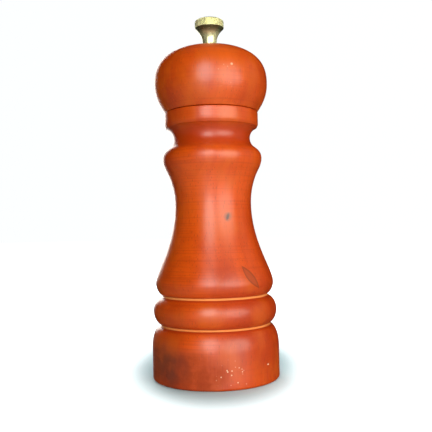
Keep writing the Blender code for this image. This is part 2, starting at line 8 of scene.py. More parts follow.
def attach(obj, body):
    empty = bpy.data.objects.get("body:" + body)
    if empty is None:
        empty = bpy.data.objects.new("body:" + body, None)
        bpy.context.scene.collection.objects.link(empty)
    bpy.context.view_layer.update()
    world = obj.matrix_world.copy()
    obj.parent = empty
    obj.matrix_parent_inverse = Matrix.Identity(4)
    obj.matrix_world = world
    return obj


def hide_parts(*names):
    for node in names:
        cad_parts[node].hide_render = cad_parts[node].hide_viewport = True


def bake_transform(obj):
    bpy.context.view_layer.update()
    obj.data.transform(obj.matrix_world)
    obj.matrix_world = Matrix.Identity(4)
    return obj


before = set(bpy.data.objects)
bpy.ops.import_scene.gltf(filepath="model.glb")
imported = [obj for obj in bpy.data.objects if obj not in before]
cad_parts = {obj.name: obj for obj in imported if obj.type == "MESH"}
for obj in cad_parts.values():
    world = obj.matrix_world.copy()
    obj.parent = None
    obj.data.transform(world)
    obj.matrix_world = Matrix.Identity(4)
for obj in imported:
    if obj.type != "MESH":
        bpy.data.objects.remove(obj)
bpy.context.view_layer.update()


# ---------------- wooden body
# The body is turned between centres from one block of beech, bored through, stained
# red-orange and finished with satin lacquer. Two fine V grooves are cut in it, with a painted highlight along
# their floors.
def arc(centre, size, start, end, steps):
    """Places on an ellipse, from 0 degrees straight out to 90 straight up."""
    places = []
    for step in range(steps + 1):
        angle = math.radians(start + (end - start) * step / steps)
        places.append((centre[0] + size[0] * math.cos(angle), centre[1] + size[1] * math.sin(angle)))
    return places


def sweep(start, end, leans, pulls, steps):
    """A smooth stretch of a turned outline. Leans are in degrees outwards from straight down."""
    first, last = Vector(start), Vector(end)
    ways = [Vector((math.sin(math.radians(a)), -math.cos(math.radians(a)))) for a in leans]
    near, far = first + ways[0] * pulls[0], last - ways[1] * pulls[1]
    places = []
    for step in range(1, steps + 1):
        t = step / steps
        u = 1 - t
        places.append(tuple(first * u**3 + near * 3 * u * u * t + far * 3 * u * t * t + last * t**3))
    return places


def stood(name, data):
    """A new object in the scene that carries that mesh, curve, lamp or camera."""
    made = bpy.data.objects.new(name, data)
    bpy.context.scene.collection.objects.link(made)
    return made


def smoothed(piece, sharp_degrees):
    piece.data.shade_smooth()
    piece.data.set_sharp_from_angle(angle=math.radians(sharp_degrees))
    return piece


def plain_mesh(blank, name):
    """The finished piece as a plain mesh, its seams closed and its faces outwards."""
    graph = bpy.context.evaluated_depsgraph_get()
    mesh = bpy.data.meshes.new_from_object(blank.evaluated_get(graph))
    bpy.data.objects.remove(blank)
    shape = bmesh.new()
    shape.from_mesh(mesh)
    bmesh.ops.remove_doubles(shape, verts=shape.verts, dist=0.000002)
    bmesh.ops.recalc_face_normals(shape, faces=shape.faces)
    shape.to_mesh(mesh)
    shape.free()
    mesh.name = name
    return stood(name, mesh)


def turned(name, outline, sides, closed=True, sharp_degrees=38):
    """Turns an outline of (radius, height) places round the mill's axis."""
    mesh = bpy.data.meshes.new(name + "_outline")
    edges = [(i, i + 1) for i in range(len(outline) - 1)]
    if closed:
        edges.append((len(outline) - 1, 0))
    mesh.from_pydata([(radius, 0.0, z) for radius, z in outline], edges, [])
    blank = stood(name + "_blank", mesh)
    screw = blank.modifiers.new("turn", "SCREW")
    screw.steps = screw.render_steps = sides
    screw.use_merge_vertices = True
    screw.merge_threshold = 0.000001
    return smoothed(plain_mesh(blank, name), sharp_degrees)


def fit(piece, finish, body_name, *nodes):
    """Gives a finished piece its material and puts it on its body in place of its plain nodes."""
    if finish:
        piece.data.materials.clear()
        piece.data.materials.append(finish)
    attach(piece, body_name)
    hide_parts(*nodes)


body_top, collar_foot = 0.1216, 0.1158
collar = 0.02158
cove = arc((0.0231, 0.1099), (0.0054, 0.0054), 112, 235.8, 40)
shoulder, shoulder_foot, waist = (0.02291, 0.1006), (0.0215, 0.0957), (0.01765, 0.0799)
flare, rim, rim_foot = (0.0246, 0.0517), (0.02707, 0.0439), (0.0251, 0.0390)
bead = arc((0.0233, 0.03125), (0.00502, 0.0066), 70, -66, 44)
base_shoulder = arc((0.0250, 0.0150), (0.00417, 0.0096), 83, 0, 30)
base_radius, foot_round = 0.02917, 0.0013
upper_groove, lower_groove = (0.0242, 0.0381), (0.0249, 0.0249)  # radius and height of each floor
recess_radius, recess_depth = 0.0220, 0.0120
grinder_bore, grinder_bore_top, store_bore = 0.0160, 0.0344, 0.0125

body_outline = [
    *arc((collar - 0.0004, body_top - 0.0004), (0.0004, 0.0004), 90, 0, 5),
    (collar, 0.1200),
    (collar, 0.1180),
    (collar, collar_foot + 0.0002),
    (collar - 0.0001, collar_foot),
    *cove,
    *sweep(cove[-1], shoulder, (55, 0), (0.0024, 0.0020), 18),
    *sweep(shoulder, shoulder_foot, (0, -28), (0.0017, 0.0017), 12),
    *sweep(shoulder_foot, waist, (-28, 0), (0.0045, 0.0065), 24),
    *sweep(waist, flare, (0, 23), (0.0110, 0.0090), 32),
    *sweep(flare, rim, (23, 0), (0.0028, 0.0020), 16),
    *sweep(rim, rim_foot, (0, -50), (0.0017, 0.0015), 16),
    (upper_groove[0] + 0.0002, upper_groove[1] + 0.0003),
    upper_groove,
    (upper_groove[0] + 0.0002, upper_groove[1] - 0.0003),
    *bead,
    (lower_groove[0] + 0.0002, lower_groove[1] + 0.0003),
    lower_groove,
    (lower_groove[0] + 0.0002, lower_groove[1] - 0.0003),
    *base_shoulder,
    (base_radius, 0.0110),
    (base_radius, 0.0070),
    (base_radius, 0.0035),
    *arc((base_radius - foot_round, foot_round), (foot_round, foot_round), 0, -90, 8),
    *arc((recess_radius + 0.0006, 0.0006), (0.0006, 0.0006), 270, 180, 5),
    (recess_radius, recess_depth),
    (grinder_bore, recess_depth),
    (grinder_bore, grinder_bore_top),
    (store_bore, grinder_bore_top),
    (store_bore, body_top - 0.0005),
    *arc((store_bore + 0.0005, body_top - 0.0005), (0.0005, 0.0005), 180, 90, 4),
]
body = turned("body_turning", body_outline, 192)


def new_group(name, ins, outs, family="ShaderNodeTree"):
    """A node group with those named sockets, its incoming sockets and its last node."""
    group = bpy.data.node_groups.new(name, family)
    for side, sockets in (("INPUT", ins), ("OUTPUT", outs)):
        for label, kind in sockets.items():
            group.interface.new_socket(label, in_out=side, socket_type="NodeSocket" + kind)
    return group, group.nodes.new("NodeGroupInput").outputs, group.nodes.new("NodeGroupOutput")


def feed(here, **inputs):
    """Sets a node's inputs, by label or as i0, i1 and so on, to values or links to sockets."""
    for key, value in inputs.items():
        label = key[1:] if key[0] == "i" and key[1:].isdigit() else key.replace("_", " ")
        socket = here.inputs[int(label)] if label.isdigit() else here.inputs[label]
        if isinstance(value, bpy.types.NodeSocket):
            here.id_data.links.new(value, socket)
        else:
            socket.default_value = value
    return here


def node(tree, kind, settings=None, **inputs):
    made = tree.nodes.new(kind)
    for key, value in (settings or {}).items():
        setattr(made, key, value)
    return feed(made, **inputs)


def beside(values, kind, settings=None, **inputs):
    """A node in the same tree as the first of the values that is a socket."""
    tree = next(value.id_data for value in values if isinstance(value, bpy.types.NodeSocket))
    return node(tree, kind, settings, **inputs)


def reckon(operation, a, b=0.0, clamp=False):
    settings = {"operation": operation, "use_clamp": clamp}
    return beside((a, b), "ShaderNodeMath", settings, i0=a, i1=b).outputs[0]


def times(a, b, clamp=False):
    return reckon("MULTIPLY", a, b, clamp)


def plus(a, b, clamp=False):
    return reckon("ADD", a, b, clamp)


def most(a, b):
    return reckon("MAXIMUM", a, b)


def below(a, b):
    return reckon("LESS_THAN", a, b)


def vector(operation, a, b=(0, 0, 0)):
    return beside((a, b), "ShaderNodeVectorMath", {"operation": operation}, i0=a, i1=b).outputs[0]


def length(a):
    return beside((a,), "ShaderNodeVectorMath", {"operation": "LENGTH"}, i0=a).outputs["Value"]


def parts(a):
    return beside((a,), "ShaderNodeSeparateXYZ", Vector=a).outputs


def band(value, low, high, out_low=0.0, out_high=1.0, smooth=True):
    """The value carried from one range to another, held at both ends."""
    settings = {"interpolation_type": "SMOOTHSTEP" if smooth else "LINEAR"}
    return beside((value,), "ShaderNodeMapRange", settings,
                  i0=value, i1=low, i2=high, i3=out_low, i4=out_high).outputs[0]


def tint(mask, under, over, blend="MIX"):
    """Two colours mixed by a mask."""
    settings = {"data_type": "RGBA", "blend_type": blend}
    return beside((mask, under, over), "ShaderNodeMix", settings, i0=mask, i6=under, i7=over).outputs[2]


def noise(place, scale, detail=3.0, roughness=0.55):
    return beside((place,), "ShaderNodeTexNoise", Vector=place, Scale=scale, Detail=detail,
                  Roughness=roughness).outputs["Fac"]


def cells(place, scale):
    """How far each place is from the middle of its cell."""
    return beside((place,), "ShaderNodeTexVoronoi", {"feature": "F1"}, Vector=place,
                  Scale=scale).outputs["Distance"]


def stretched(place, scale, shift=(0, 0, 0), turn=(0, 0, 0)):
    return beside((place,), "ShaderNodeMapping", Vector=place, Location=shift, Rotation=turn,
                  Scale=scale).outputs[0]


def through(group, **inputs):
    """What a node group makes of those inputs."""
    return beside(inputs.values(), "ShaderNodeGroup", {"node_tree": group}, **inputs).outputs


# Beech seen on a turned surface: growth rings about a pith far outside the block,
# fine fibre along the grain, and short dark flecks where the rays are cut across.
beech, given, result = new_group(
    "beech_figure", {"Vector": "Vector", "Ring spacing": "Float"},
    {"Rings": "Float", "Fibre": "Float", "Flecks": "Float"})
place = given["Vector"]
warp = noise(stretched(place, (30, 30, 9)), 1.0, 2.0)
from_pith = length(stretched(place, (1, 1, 0.06), (0.031, 0.052, 0), (0.03, 0.05, 0)))
saw = reckon("FRACT", reckon("DIVIDE", plus(from_pith, times(warp, 0.0075)), given["Ring spacing"]))
feed(result, Rings=times(band(saw, 0.35, 0.95), band(saw, 0.96, 1.0, 1.0, 0.0)),
     Fibre=noise(stretched(place, (1400, 1400, 55)), 1.0, 4.0, 0.6),
     Flecks=band(cells(stretched(place, (1150, 1150, 230)), 1.0), 0.12, 0.27, 1.0, 0.0))

# The stain: cloudy, deeper along the rings and the lathe's tool lines, nearly black in the
# flecks, with paler clouds of painted sheen. Wood the stain never reached is left bare.
stained, given, result = new_group(
    "stained_beech", {"Vector": "Vector", "Warm": "Color", "Deep": "Color", "Pale": "Color",
                      "Wiped": "Color", "Bare": "Float"},
    {"Colour": "Color", "Fibre": "Float", "Flecks": "Float"})
place, warm, deep, pale, sheen_tint, bare = given[:6]
rings, fibre, flecks = through(beech, Vector=place, Ring_spacing=0.0032)[:3]
tool_lines = noise(stretched(place, (14, 14, 1500)), 1.0, 2.0, 0.6)
# painted sheen: soft pale clouds that stand in for reflected light
sheen_cloud = noise(stretched(place, (75, 75, 45), (0.3, 0.1, 0.2)), 1.0, 3.0, 0.55)
colour = tint(band(noise(stretched(place, (34, 34, 16)), 1.0, 3.0, 0.5), 0.35, 0.68), warm, deep)
for mask, over in (
    (times(rings, 0.18), deep), (band(fibre, 0.50, 0.78, 0.0, 0.30), pale),
    (times(flecks, 0.38), (0.20, 0.026, 0.006, 1)), (band(tool_lines, 0.50, 0.64, 0.0, 0.34), deep),
    (band(sheen_cloud, 0.46, 0.66, 0.0, 0.55), sheen_tint),
):
    colour = tint(mask, colour, over)
unstained = tint(band(fibre, 0.40, 0.75), (0.66, 0.40, 0.20, 1), (0.52, 0.29, 0.13, 1))
unstained = tint(times(rings, 0.35), unstained, (0.40, 0.20, 0.08, 1))
feed(result, Colour=tint(bare, colour, unstained), Fibre=fibre, Flecks=flecks)

# A mask that is 1 inside a tilted ellipsoid about a place on the surface.
soft_spot, given, result = new_group(
    "soft_spot", {"Vector": "Vector", "Centre": "Vector", "Half sizes": "Vector", "Turn": "Vector",
                  "Soft": "Float"}, {"Mask": "Float"})
place, centre, half_sizes, turn, soft = given[:5]
moved = beside((place,), "ShaderNodeVectorRotate", {"rotation_type": "EULER_XYZ"},
               Vector=vector("SUBTRACT", place, centre), Rotation=turn).outputs[0]
size = length(vector("DIVIDE", moved, half_sizes))
feed(result, Mask=band(size, reckon("SUBTRACT", 1.0, soft), plus(1.0, soft), 1.0, 0.0))


def spot(place, centre, half_sizes, turn=(0, 0, 0), soft=0.3):
    return through(soft_spot, Vector=place, Centre=centre, Half_sizes=half_sizes, Turn=turn, Soft=soft)[0]


# Satin lacquer with the fibre and the tool lines just telegraphing through, duller and
# without its gloss where it is worn and under a painted shadow.
satin, given, result = new_group(
    "satin_lacquer", {"Vector": "Vector", "Fibre": "Float", "Flecks": "Float", "Hollows": "Float",
                      "Worn": "Float"}, {"Height": "Float", "Roughness": "Float", "Coat": "Float"})
place, fibre, flecks, hollows, worn = given[:5]
height = times(noise(stretched(place, (0, 0, 1)), 2600.0, 2.0, 0.7), 0.8)
for ripple, share in ((noise(place, 420.0, 2.0, 0.5), 0.5), (noise(place, 1150.0, 2.0, 0.5), 0.5),
                      (fibre, 0.18), (flecks, -0.25), (hollows, -1.0)):
    height = plus(height, times(ripple, share))
smudge = noise(stretched(place, (90, 90, 60)), 1.0, 3.0, 0.6)
feed(result, Height=height, Coat=band(worn, 0.0, 1.0, 0.30, 0.05, smooth=False),
     Roughness=plus(band(smudge, 0.3, 0.7, 0.29, 0.40, smooth=False), times(worn, 0.62), clamp=True))


def new_material(name):
    """A material with an empty tree, and its object coordinates."""
    made = bpy.data.materials.new(name)
    made.use_nodes = True
    made.node_tree.nodes.clear()
    return made, made.node_tree, node(made.node_tree, "ShaderNodeTexCoord").outputs["Object"]


def shade(height, relief, depth, **looks):
    """One Principled surface over a bump."""
    bump = beside((height,), "ShaderNodeBump", Strength=relief, Distance=depth, Height=height)
    shader = node(bump.id_data, "ShaderNodeBsdfPrincipled", Normal=bump.outputs[0], **looks)
    node(bump.id_data, "ShaderNodeOutputMaterial", Surface=shader.outputs[0])


def lacquer(tree, place, colour, fibre, flecks, hollows, worn):
    """The satin coat that goes over the stain and its marks."""
    skin = through(satin, Vector=place, Fibre=fibre, Flecks=flecks, Hollows=hollows, Worn=worn)
    around = node(tree, "ShaderNodeTangent", {"direction_type": "RADIAL", "axis": "Z"}).outputs[0]
    shade(skin["Height"], 0.5, 0.00008, Base_Color=colour, Roughness=skin["Roughness"],
          Specular_IOR_Level=0.45, Anisotropic=0.65, Anisotropic_Rotation=0.25, Tangent=around,
          Coat_Weight=skin["Coat"], Coat_Roughness=0.30, Coat_IOR=1.65)


body_wood, tree, place = new_material("body_wood")
_, y_place, z_place = parts(place)
from_axis = length(stretched(place, (1, 1, 0)))
in_recess = times(below(from_axis, recess_radius + 0.0003), below(z_place, recess_depth + 0.0002))
bare = most(below(from_axis, grinder_bore + 0.0004), in_recess)
# the paler tint of the stain's clouds is a painted sheen
colour, fibre, flecks = through(
    stained, Vector=place, Warm=(0.74, 0.086, 0.003, 1), Deep=(0.47, 0.037, 0.002, 1),
    Pale=(0.86, 0.140, 0.006, 1), Wiped=(0.666, 0.100, 0.003, 1), Bare=bare)[:3]
ragged = noise(place, 900.0, 3.0, 0.6)

# a painted shadow on the left of the base: a dark patch with a cloudy edge
cloudy = band(noise(place, 190.0, 4.0, 0.55), 0.30, 0.62, 0.62, 1.0)
shadow_veil = spot(place, (-0.0120, -0.0270, 0.0066), (0.0155, 0.0130, 0.0098), soft=0.30)
shadow_veil = times(shadow_veil, cloudy)
colour = tint(times(shadow_veil, 0.78), colour, (0.30, 0.030, 0.002, 1))
shadow_patch = spot(place, (-0.0240, -0.0160, 0.0092), (0.0125, 0.0150, 0.0092), soft=0.55)
shadow_patch = times(shadow_patch, cloudy)
colour = tint(times(shadow_patch, 0.66), colour, (0.100, 0.028, 0.017, 1))
# the painted shadow also takes the lacquer's gloss away
shadow_dull = most(shadow_veil, times(shadow_patch, 0.5))

# a leaf-shaped bark streak that slants down the flare, with a dark outline and pointed ends
leaf_place = beside((place,), "ShaderNodeVectorRotate", {"rotation_type": "EULER_XYZ"},
                    Vector=vector("SUBTRACT", place, (0.0157, -0.0204, 0.0471)),
                    Rotation=(0.0, math.radians(37), 0.0)).outputs[0]
across, _, along = parts(leaf_place)
across = reckon("DIVIDE", reckon("ABSOLUTE", across), 0.00150)
along = reckon("POWER", reckon("DIVIDE", along, 0.0062), 2.0)
lens = plus(plus(across, along), times(ragged, 0.12))
near_side = band(y_place, -0.010, -0.006, 1.0, 0.0)
leaf = times(band(lens, 0.94, 1.22, 1.0, 0.0), near_side)
core = times(band(lens, 0.55, 0.92, 1.0, 0.0), near_side)
colour = tint(times(leaf, 0.70), colour, (0.18, 0.030, 0.010, 1))
colour = tint(times(core, 0.80), colour, (0.50, 0.068, 0.012, 1))

# a pin knot on the waist: a dark slit in a grey, ragged eye
knot_turn, knot_place = (0.0, math.radians(-16), 0), (0.0064, -0.0166, 0.0735)
eye = spot(place, knot_place, (0.0016, 0.0030, 0.0020), knot_turn, 0.5)
eye = times(eye, band(ragged, 0.30, 0.55, 0.35, 1.0))
knot = spot(place, knot_place, (0.0006, 0.0030, 0.0014), knot_turn, 0.55)
colour = tint(times(eye, 0.62), colour, (0.22, 0.090, 0.060, 1))
colour = tint(times(knot, 0.85), colour, (0.045, 0.035, 0.035, 1))

# chips in the lacquer low on the front of the base
chips_field = spot(place, (0.0070, -0.0280, 0.0066), (0.0078, 0.0060, 0.0058), soft=0.3)
chips = times(chips_field, band(cells(place, 640.0), 0.13, 0.24, 1.0, 0.0))
chips = times(chips, band(noise(place, 210.0, 1.0), 0.44, 0.52))
lone_chip = spot(place, (0.0226, -0.0184, 0.0090), (0.0004, 0.0008, 0.0003), soft=0.3)
chips = most(chips, lone_chip)
colour = tint(times(chips, 0.9), colour, (0.95, 0.62, 0.42, 1))

# painted shade: a darker colour in the cove and beside the grooves, where shade falls
for height, reach in ((0.1100, 0.0062), (upper_groove[1], 0.0016), (lower_groove[1], 0.0016)):
    off = reckon("ABSOLUTE", reckon("SUBTRACT", z_place, height))
    painted_hollow_shade = band(off, reach * 0.30, reach, 0.75, 0.0)
    colour = tint(painted_hollow_shade, colour, (0.42, 0.030, 0.001, 1))

# painted highlight: a pale line along the floor of each V groove
for _, height in (upper_groove, lower_groove):
    off = reckon("ABSOLUTE", reckon("SUBTRACT", z_place, height))
    line = band(off, 0.00032, 0.00052, 1.0, 0.0)
    colour = tint(times(line, 0.9), colour, (0.90, 0.36, 0.10, 1))

hollows = plus(times(chips, 3.0), times(knot, 2.5))
# worn: the chips, the bare wood and the painted shadow's loss of gloss
worn = plus(plus(chips, shadow_dull), bare, clamp=True)
lacquer(tree, place, colour, fibre, flecks, hollows, worn)
fit(body, body_wood, "mill", "mill_body")


# ---------------- wooden head
# The head is turned from the same beech, a little paler, as a flattened dome on a spigot
# that drops into the body's bore. It is drilled up the middle for the shaft.
def crowned_side(girth, rise, fullness, flat_radius, steps):
    """A flattened dome from the edge of its flat crown out to its girth."""
    crown = math.acos((flat_radius / girth[0]) ** (fullness / 2))
    places = []
    for step in range(steps + 1):
        angle = crown * (1 - step / steps)
        out, up = math.cos(angle) ** (2 / fullness), math.sin(angle) ** (2 / fullness)
        places.append((girth[0] * out, girth[1] + rise * up))
    return places


head_seat, head_top, spigot_foot = 0.12195, 0.15175, 0.11195
girth, head_edge = (0.02609, 0.1346), (0.0217, 0.12245)
head_outline = [
    (0.0030, head_top - 0.0003),
    (0.0033, head_top),
    (0.0042, head_top),
    *crowned_side(girth, 0.0173, 2.55, 0.0046, 90),
    *sweep(girth, head_edge, (0, -35), (0.0053, 0.0038), 40),
    *sweep(head_edge, (0.0212, head_seat), (-35, -90), (0.0003, 0.0002), 4),
    (0.0150, head_seat),
    (0.0121, head_seat),
    (0.0121, spigot_foot + 0.0005),
    *arc((0.0116, spigot_foot + 0.0005), (0.0005, 0.0005), 0, -90, 4),
    (0.0050, spigot_foot),
    (0.0050, 0.1480),
    (0.0030, 0.1480),
]
head = turned("head_turning", head_outline, 192)
head_wood, tree, place = new_material("head_wood")
height = parts(place)[2]
on_spigot = below(length(stretched(place, (1, 1, 0))), 0.0150)
bare = times(on_spigot, below(height, head_seat + 0.0002))
# the paler tint of the stain's clouds is a painted sheen
colour, fibre, flecks = through(
    stained, Vector=place, Warm=(0.74, 0.090, 0.003, 1), Deep=(0.47, 0.039, 0.002, 1),
    Pale=(0.86, 0.145, 0.006, 1), Wiped=(0.666, 0.104, 0.003, 1), Bare=bare)[:3]
speck = spot(place, (0.0093, -0.0240, 0.1383), (0.0005, 0.0010, 0.0005), soft=0.4)
specks_field = spot(place, (0.0062, -0.0252, 0.1335), (0.0050, 0.0050, 0.0060), soft=0.3)
specks = times(specks_field, band(cells(place, 560.0), 0.13, 0.20, 1.0, 0.0))
speck = most(speck, times(specks, 0.28))
colour = tint(times(speck, 0.8), colour, (0.92, 0.55, 0.36, 1))
lacquer(tree, place, colour, fibre, flecks, speck, most(speck, bare))
fit(head, head_wood, "head", "mill_head")


# ---------------- brass nut
# The nut is turned from brass bar: a knurled rim on a stem that flares up to it, threaded
# from below. Its knurl is pressed in as a band of small diamonds.
nut_foot, nut_top, band_foot, crown_foot = 0.15285, 0.16543, 0.1611, 0.1641
nut_radius, stem_radius, nut_bore = 0.00670, 0.00328, 0.0028
band_edge = (nut_radius - 0.0003, band_foot - 0.00005)
stem_top = (stem_radius, nut_foot + 0.0022)
nut_outline = [
    (0.0, nut_top),
    *arc((0.0030, crown_foot), (nut_radius - 0.0030, nut_top - crown_foot), 90, 0, 30),
    *[(nut_radius, crown_foot - 0.0001 * step) for step in range(1, 28)],
    *arc((nut_radius - 0.0003, band_foot + 0.0003), (0.0003, 0.0003), 0, -80, 4),
    band_edge,
    *sweep(band_edge, stem_top, (-43, -5), (0.0030, 0.0026), 36),
    (stem_radius, nut_foot + 0.0014),
    (stem_radius + 0.00025, nut_foot + 0.0012),
    (stem_radius + 0.0003, nut_foot + 0.0002),
    (stem_radius + 0.0001, nut_foot),
    (nut_bore, nut_foot),
    (nut_bore, nut_foot + 0.0092),
    (0.0, nut_foot + 0.0092),
]


def painted_end(tree, geometry, finish, result):
    """Ends a tree with real geometry that carries its material."""
    whole = node(tree, "GeometryNodeRealizeInstances", Geometry=geometry).outputs[0]
    painted = node(tree, "GeometryNodeSetMaterial", Geometry=whole, Material=finish)
    feed(result, i0=painted.outputs[0])


# A Geometry Nodes tree that presses helical teeth, or crossed ones, into a turned band. It
# goes between two heights and between two radii, and its cuts fade out at both heights.
teeth_tree, given, result = new_group(
    "tooth_press",
    {"Blank": "Geometry", "Teeth": "Float", "Depth": "Float", "Slant": "Float", "Crossed": "Float",
     "Low": "Float", "High": "Float", "Run out": "Float", "Inside": "Float", "Outside": "Float",
     "Finish": "Material"}, {"Piece": "Geometry"}, "GeometryNodeTree")
x, y, z = parts(node(teeth_tree, "GeometryNodeInputPosition").outputs[0])
flat = node(teeth_tree, "ShaderNodeCombineXYZ", X=x, Y=y).outputs[0]
reach = length(flat)
around = reckon("DIVIDE", times(reckon("ARCTAN2", y, x), given["Teeth"]), math.tau)
along = times(z, given["Slant"])
one_way, other_way = plus(around, along), reckon("SUBTRACT", around, along)
ridges = [reckon("PINGPONG", way, 0.5) for way in (one_way, other_way)]
diamond = times(reckon("MINIMUM", *ridges), 3.4, clamp=True)
shape = node(teeth_tree, "ShaderNodeMix", i0=given["Crossed"], i2=reckon("FRACT", one_way), i3=diamond)
hollow = reckon("SUBTRACT", 1.0, shape.outputs[0])
for fade in (
    reckon("DIVIDE", reckon("SUBTRACT", z, given["Low"]), given["Run out"], clamp=True),
    reckon("DIVIDE", reckon("SUBTRACT", given["High"], z), given["Run out"], clamp=True),
    reckon("GREATER_THAN", reach, given["Inside"]),
    below(reach, given["Outside"]),
):
    hollow = times(hollow, fade)
push = node(teeth_tree, "ShaderNodeVectorMath", {"operation": "SCALE"}, i0=vector("NORMALIZE", flat),
            Scale=times(hollow, given["Depth"])).outputs[0]
moved = node(teeth_tree, "GeometryNodeSetPosition", Geometry=given["Blank"], Offset=push).outputs[0]
earlier = node(teeth_tree, "GeometryNodeInputNamedAttribute", {"data_type": "FLOAT"}, Name="pressed")
marked = node(teeth_tree, "GeometryNodeStoreNamedAttribute", {"data_type": "FLOAT", "domain": "POINT"},
              Geometry=moved, Name="pressed", Value=most(hollow, earlier.outputs["Attribute"])).outputs[0]
painted_end(teeth_tree, marked, given["Finish"], result)


def run_tree(piece, name, tree, sharp_degrees=30, **settings):
    """Runs a Geometry Nodes tree on a piece and leaves a plain mesh."""
    modifier = piece.modifiers.new(tree.name, "NODES")
    modifier.node_group = tree
    for item in tree.interface.items_tree:
        if item.in_out == "INPUT" and item.name.replace(" ", "_") in settings:
            modifier[item.identifier] = settings[item.name.replace(" ", "_")]
    return smoothed(plain_mesh(piece, name), sharp_degrees)


# Old brass: handled bright, with a dull skin in places and green-black grime in the knurl.
# Under the rim a painted shade, and down the stem painted dark reflection streaks, darken it.
old_brass, given, result = new_group(
    "old_brass", {"Vector": "Vector", "Pressed": "Float", "Hue": "Color", "Roughness": "Float",
                  "Rim": "Float"},
    {"Colour": "Color", "Metallic": "Float", "Roughness": "Float", "Height": "Float"})
place, pressed, hue, rough, rim = given[:5]
tarnish = noise(place, 480.0, 4.0, 0.65)
tarnished = tint(1.0, hue, (0.50, 0.46, 0.32, 1), blend="MULTIPLY")
colour = tint(band(tarnish, 0.55, 0.75, 0.0, 0.35), hue, tarnished)
colour = tint(band(pressed, 0.55, 1.0, 0.0, 0.80), colour, (0.075, 0.090, 0.035, 1))
# painted shade under the rim and painted dark streaks of reflection down the stem, in green-black
above_rim = reckon("SUBTRACT", parts(place)[2], rim)
reflection_streaks = band(noise(stretched(place, (1, 1, 0.04)), 620.0, 2.0, 0.6), 0.44, 0.60, 0.0, 0.45)
rim_shade = most(band(above_rim, -0.0043, -0.0005, 0.0, 0.93), reflection_streaks)
grime = times(rim_shade, band(above_rim, 0.0, 0.0003, 1.0, 0.0))
feed(result, Colour=tint(grime, colour, (0.060, 0.070, 0.022, 1)),
     Metallic=band(tarnish, 0.3, 0.7, 0.66, 0.50, smooth=False),
     Roughness=plus(rough, band(tarnish, 0.3, 0.8, 0.0, 0.22, smooth=False)),
     Height=noise(stretched(place, (0, 0, 1)), 5200.0, 2.0, 0.7))


def brass(name, hue, rough):
    made, tree, place = new_material(name)
    pressed = node(tree, "ShaderNodeAttribute", {"attribute_name": "pressed"}).outputs["Fac"]
    skin = through(old_brass, Vector=place, Pressed=pressed, Hue=hue, Roughness=rough, Rim=band_foot)
    shade(skin["Height"], 0.25, 0.00002, Base_Color=skin["Colour"], Metallic=skin["Metallic"],
          Roughness=skin["Roughness"])
    return made


nut = run_tree(turned("nut_blank", nut_outline, 360, closed=False), "nut_turning", teeth_tree,
               Teeth=46.0, Depth=-0.00034, Slant=1100.0, Crossed=1.0, Low=band_foot + 0.0002,
               High=crown_foot + 0.0008, Run_out=0.0003, Inside=nut_radius - 0.0012, Outside=1.0)
fit(nut, brass("nut_brass", (0.98, 0.95, 0.55, 1), 0.16), "nut", "finial_nut")

washer_foot = 0.15205
washer_outline = [
    (0.0028, washer_foot + 0.0005),
    *arc((0.0041, washer_foot + 0.0004), (0.0001, 0.0001), 90, 0, 3),
    *arc((0.0041, washer_foot + 0.0001), (0.0001, 0.0001), 0, -90, 3),
    (0.0028, washer_foot),
]
nut_washer = turned("nut_washer_ring", washer_outline, 96)
fit(nut_washer, brass("washer_brass", (0.80, 0.64, 0.33, 1), 0.26), "nut_washer", "finial_washer")


# ---------------- drive plate
# A stamped steel disc with a square hole, screwed under the head's spigot. It is what
# makes the shaft turn with the head. It is zinc plated.
def flat_stamping(name, outer, holes, foot, thickness, edge=0.00012):
    """A flat plate with round or square holes and slightly rolled edges, lying level."""
    curve = bpy.data.curves.new(name, "CURVE")
    curve.dimensions, curve.fill_mode = "2D", "BOTH"
    curve.extrude = thickness / 2 - edge
    curve.bevel_depth, curve.bevel_resolution = edge, 2
    curve.offset = -edge
    for loop in (outer, *holes):
        spline = curve.splines.new("POLY")
        spline.points.add(len(loop) - 1)
        for point, (x, y) in zip(spline.points, loop):
            point.co = (x, y, 0, 1)
        spline.use_cyclic_u = True
    piece = plain_mesh(stood(name + "_blank", curve), name)
    piece.data.transform(Matrix.Translation((0, 0, foot + thickness / 2)))
    return smoothed(piece, 40)


def ring_loop(radius, steps=96, centre=(0.0, 0.0)):
    return [(centre[0] + radius * math.cos(math.tau * i / steps),
             centre[1] + radius * math.sin(math.tau * i / steps)) for i in range(steps)]


def square_loop(side):
    half = side / 2
    return [(half, half), (-half, half), (-half, -half), (half, -half)]


def on_circle(count, radius, first_degrees=0.0):
    for step in range(count):
        angle = math.radians(first_degrees) + step * math.tau / count
        yield radius * math.cos(angle), radius * math.sin(angle)


# Bare or plated metal: brushed a little, with dull spots where oil and pepper dust sit.
brushed, given, result = new_group(
    "brushed_metal", {"Vector": "Vector", "Hue": "Color", "Roughness": "Float", "Spots": "Float"},
    {"Colour": "Color", "Roughness": "Float", "Height": "Float"})
place, hue, rough, spots = given[:4]
dulled = times(band(noise(place, 420.0, 4.0, 0.65), 0.50, 0.72), spots)
grain = noise(stretched(place, (260, 2600, 2600)), 1.0, 3.0, 0.6)
colour = tint(dulled, hue, tint(1.0, hue, (0.45, 0.38, 0.30, 1), blend="MULTIPLY"))
darker = tint(1.0, hue, (0.70, 0.70, 0.70, 1), blend="MULTIPLY")
rough = plus(rough, band(grain, 0.2, 0.8, 0.0, 0.12, smooth=False))
feed(result, Colour=tint(band(grain, 0.3, 0.8, 0.0, 0.25), colour, darker),
     Roughness=plus(rough, times(dulled, 0.25), clamp=True), Height=grain)


def sheet_metal(name, hue, rough, spots):
    made, _, place = new_material(name)
    skin = through(brushed, Vector=place, Hue=hue, Roughness=rough, Spots=spots)
    shade(skin["Height"], 0.3, 0.00002, Base_Color=skin["Colour"], Metallic=1.0,
          Roughness=skin["Roughness"])
    return made


